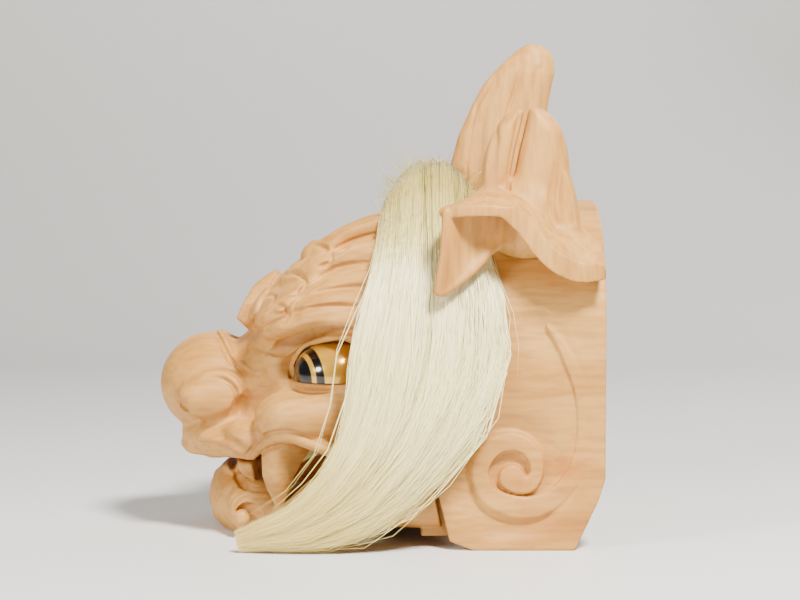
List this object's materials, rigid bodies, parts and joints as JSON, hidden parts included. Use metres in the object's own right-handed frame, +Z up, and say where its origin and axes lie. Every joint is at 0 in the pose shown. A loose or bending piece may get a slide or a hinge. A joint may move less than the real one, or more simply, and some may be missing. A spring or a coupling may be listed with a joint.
{
  "type": "lion dance head",
  "caption": "Carved wooden lion dance head with a hinged lower jaw, upright ears, a horn, gilt eyes and a pale horsehair mane; hollow behind for the hands.",
  "frame": {"origin": "centre of the bounding box's base, on the table under the head", "axes": "+X towards the lion's left side, -Y the way that it looks, +Z up"},
  "size_m": [0.2758, 0.2898, 0.3227],
  "materials": {
    "carved_wood": "unpainted, smooth, soft satin",
    "dowel_wood": "plain turned",
    "eye_lacquer": "gold with black rings under clear gloss",
    "horsehair": "straight loose hair"
  },
  "bodies": {
    "head": {"head_shell": "carved_wood", "jaw_axle": "dowel_wood", "ear_left": "carved_wood", "ear_right": "carved_wood", "horn": "carved_wood", "eye_left": "eye_lacquer", "eye_right": "eye_lacquer", "mane_left": "horsehair", "mane_right": "horsehair"},
    "jaw": {"lower_jaw": "carved_wood"}
  },
  "joints": [
    {"name": "jaw_hinge", "type": "hinge", "parent": "head", "child": "jaw", "pos_m": [0, 0.0551, 0.0165], "axis": [1, 0, 0], "range_deg": [0, 30]}
  ]
}
